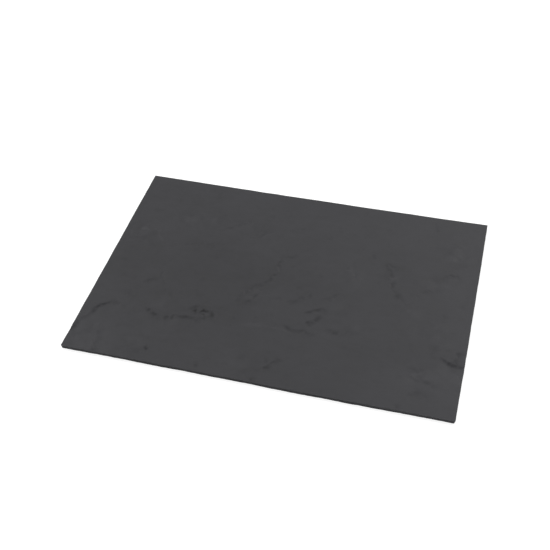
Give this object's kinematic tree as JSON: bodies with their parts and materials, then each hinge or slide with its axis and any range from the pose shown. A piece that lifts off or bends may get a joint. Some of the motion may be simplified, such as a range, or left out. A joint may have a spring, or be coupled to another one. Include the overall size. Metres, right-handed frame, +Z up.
{
  "type": "slate slab",
  "caption": "Thin rectangular slab of riven dark grey slate with low cleavage ledges and dressed sides, lying flat to carry things on its level top.",
  "frame": {"origin": "middle of the underside", "axes": "+Z up, out of the riven top; +X along the longer side; +Y along the shorter side, away from the viewer of the picture"},
  "size_m": [0.3498, 0.2448, 0.0046],
  "materials": {
    "slate": "matt riven slate, dark grey with a faint blue cast"
  },
  "bodies": {
    "root": {"slate_slab": "slate"}
  },
  "joints": []
}
